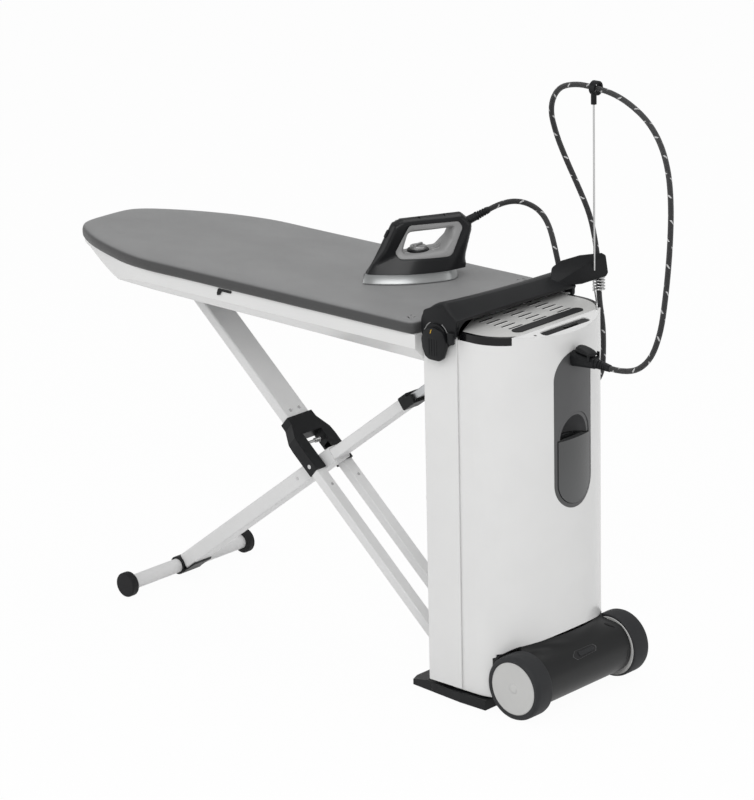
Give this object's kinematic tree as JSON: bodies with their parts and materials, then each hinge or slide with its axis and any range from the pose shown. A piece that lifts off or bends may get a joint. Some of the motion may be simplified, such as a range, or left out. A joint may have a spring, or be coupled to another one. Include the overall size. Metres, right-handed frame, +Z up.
{
  "type": "steam ironing system",
  "caption": "Wheeled steam column with a height-adjustable ironing board on crossed folding legs, and a steam iron joined to it by a hose on a holder rod.",
  "frame": {"origin": "on the floor, in the middle plane, under the seam between the lifting channel and the column housing, in the middle of the base's floor pad", "axes": "+Z up, +X from the board's nose to the column's outer end, +Y to the side of the hose holder"},
  "size_m": [1.6263, 0.4882, 1.2855],
  "materials": {
    "white_shell": "satin",
    "white_profile": "white powder coat",
    "white_tube": "satin",
    "silver_plate": "brushed",
    "black_plastic": "fine satin",
    "gloss_black": "gloss",
    "grey_panel": "satin",
    "tank_smoke": "gloss",
    "tyre_grey": "matt",
    "hub_grey": "satin",
    "axle_steel": "turned",
    "galvanised": "plain",
    "cover_cloth": "woven",
    "hose_braid": "braided",
    "foot_rubber": "matt",
    "sole_metal": "anodised",
    "iron_black": "satin",
    "iron_grey": "satin",
    "dial_silver": "satin",
    "base_black": "fine grain",
    "lamp_lens": "gloss"
  },
  "bodies": {
    "column": {"column_housing": "white_shell", "top_rim": "gloss_black", "iron_rest_plate": "silver_plate", "rest_bar": "black_plastic", "control_dish": "gloss_black", "status_lamp": "lamp_lens", "oval_panel": "grey_panel", "finger_scoop": "grey_panel", "tank_bay": "grey_panel", "steam_plug": "black_plastic", "steam_hose": "hose_braid", "foot_plate": "base_black", "hinge_ears": "axle_steel", "guide_posts": "galvanised", "axle_housing": "black_plastic", "release_latch": "grey_panel", "wheel_axle": "axle_steel", "mast_rod": "axle_steel", "mast_ring": "black_plastic"},
    "control_button": {"control_button": "gloss_black"},
    "water_tank": {"water_tank": "tank_smoke"},
    "plug_lever": {"plug_lever": "black_plastic"},
    "near_wheel": {"near_tyre": "tyre_grey", "near_hub": "hub_grey"},
    "far_wheel": {"far_tyre": "tyre_grey", "far_hub": "hub_grey"},
    "lift": {"lift_channel": "white_profile", "cap_rail": "black_plastic", "board_tray": "white_shell", "board_cover": "cover_cloth", "slide_track": "galvanised", "tray_hook": "black_plastic", "leg_b_anchor": "galvanised", "hose_clip": "black_plastic", "iron_hose": "hose_braid"},
    "lock_knob": {"lock_knob": "black_plastic"},
    "leg_a": {"leg_a_upper_tube": "white_tube", "leg_a_tip": "black_plastic", "leg_a_roller": "axle_steel", "yoke": "black_plastic", "leg_a_lower_tubes": "white_tube", "hinge_barrel": "axle_steel", "yoke_pins": "axle_steel", "lock_spring": "axle_steel", "leg_a_screws": "axle_steel"},
    "leg_b": {"leg_b_lower_tube": "white_tube", "leg_b_upper_tube": "white_tube", "leg_b_sleeve": "black_plastic", "leg_b_rivets": "axle_steel", "crossbar": "white_tube", "crossbar_feet": "foot_rubber", "foot_saddle": "black_plastic"},
    "leg_b_slide": {"leg_b_inner_tube": "galvanised"},
    "iron": {"iron_sole": "sole_metal", "iron_body": "iron_black", "iron_frame": "iron_grey", "iron_dial_base": "iron_black", "iron_sleeve": "black_plastic"},
    "iron_dial": {"iron_dial": "dial_silver"},
    "iron_button": {"iron_button": "iron_black"}
  },
  "joints": [
    {"name": "board_lift", "type": "slide", "parent": "column", "child": "lift", "axis": [0, 0, 1], "range_m": [0, 0.185]},
    {"name": "leg_a_swing", "type": "hinge", "parent": "column", "child": "leg_a", "pos_m": [-0.15, 0, 0.025], "axis": [0, 1, 0], "range_deg": [0, 14.36]},
    {"name": "leg_b_swing", "type": "hinge", "parent": "leg_a", "child": "leg_b", "pos_m": [-0.5559, 0, 0.3805], "axis": [0, -1, 0], "range_deg": [0, 26.55]},
    {"name": "leg_b_extend", "type": "slide", "parent": "leg_b", "child": "leg_b_slide", "axis": [0.7984, 0, 0.6021], "range_m": [-0.01143, 0]},
    {"name": "near_wheel_spin", "type": "hinge", "parent": "column", "child": "near_wheel", "pos_m": [0.145, -0.162, 0.071], "axis": [0, 1, 0], "continuous": true},
    {"name": "far_wheel_spin", "type": "hinge", "parent": "column", "child": "far_wheel", "pos_m": [0.145, 0.162, 0.071], "axis": [0, 1, 0], "continuous": true},
    {"name": "height_lock_turn", "type": "hinge", "parent": "lift", "child": "lock_knob", "pos_m": [-0.047, -0.194, 0.811], "axis": [0, 1, 0], "range_deg": [0, 45]},
    {"name": "tank_pull", "type": "slide", "parent": "column", "child": "water_tank", "axis": [1, 0, 0], "range_m": [0, 0.16]},
    {"name": "plug_lever_press", "type": "hinge", "parent": "column", "child": "plug_lever", "pos_m": [0.214, 0, 0.7766], "axis": [0, 1, 0], "range_deg": [0, 6], "stiffness_Nm_per_rad": 0.8, "springref_deg": -2.86},
    {"name": "control_button_press", "type": "slide", "parent": "column", "child": "control_button", "axis": [0, 0, -1], "range_m": [0, 0.0015], "stiffness_N_per_m": 800, "springref_m": -0.001},
    {"name": "iron_lift", "type": "slide", "parent": "lift", "child": "iron", "axis": [0, 0, 1], "range_m": [0, 0.1]},
    {"name": "iron_dial_turn", "type": "hinge", "parent": "iron", "child": "iron_dial", "pos_m": [-0.3135, 0.04799, 0.9194], "axis": [0, 0, 1], "range_deg": [-130, 130]},
    {"name": "steam_button_press", "type": "slide", "parent": "iron", "child": "iron_button", "axis": [0.4456, 0.7719, -0.4535], "range_m": [0, 0.003], "stiffness_N_per_m": 600, "springref_m": -0.001}
  ],
  "couplings": [
    {"joint": "leg_a_swing", "follows": "board_lift", "rad_per_m": 1.35},
    {"joint": "leg_b_swing", "follows": "board_lift", "rad_per_m": 2.5},
    {"joint": "leg_b_extend", "follows": "board_lift", "ratio": -0.0607}
  ]
}
